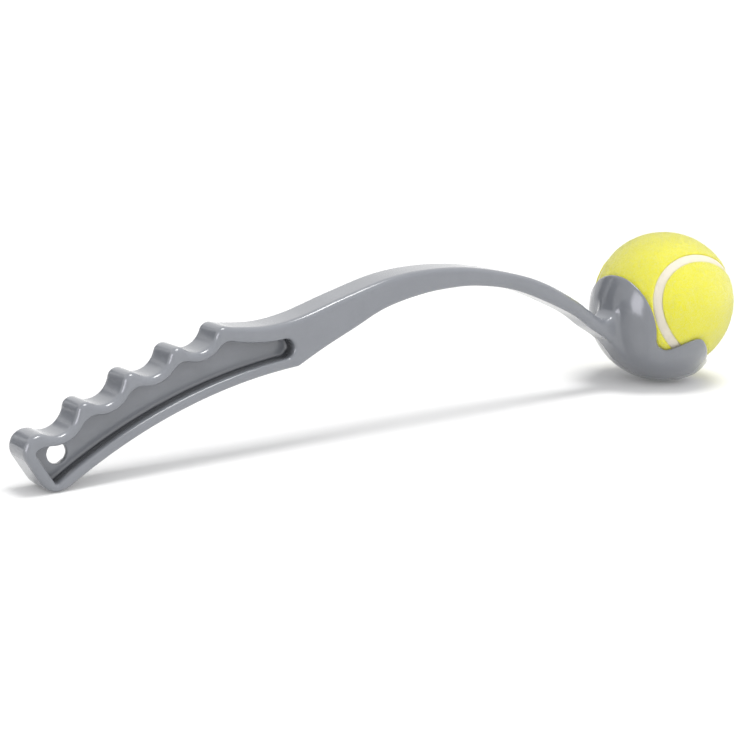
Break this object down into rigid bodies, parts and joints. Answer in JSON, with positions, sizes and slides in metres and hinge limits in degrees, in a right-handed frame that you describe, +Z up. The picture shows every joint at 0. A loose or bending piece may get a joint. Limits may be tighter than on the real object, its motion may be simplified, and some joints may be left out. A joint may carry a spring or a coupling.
{
  "type": "dog ball thrower",
  "caption": "Moulded plastic dog ball thrower with an arched arm, a finger-grooved pocketed handle and a claw cup holding a felt ball.",
  "frame": {"origin": "under the middle of the whole on the surface it stands on", "axes": "+X from the handle's tail towards the cup, +Y across the handle to its far side, +Z up"},
  "size_m": [0.3614, 0.0649, 0.0698],
  "materials": {
    "grey_plastic": "smooth moulded, semi-gloss",
    "yellow_felt": "short brushed felt",
    "pale_rubber": "matt seam rubber",
    "dark_rubber": "matt core rubber"
  },
  "bodies": {
    "thrower": {"moulded_thrower": "grey_plastic"},
    "ball": {"felt_panel_a": "yellow_felt", "felt_panel_b": "yellow_felt", "ball_seam": "pale_rubber", "ball_core_half_a": "dark_rubber", "ball_core_half_b": "dark_rubber"}
  },
  "joints": [
    {"name": "ball_release", "type": "slide", "parent": "thrower", "child": "ball", "axis": [0.6691, 0, 0.7431], "range_m": [0, 0.08]}
  ]
}
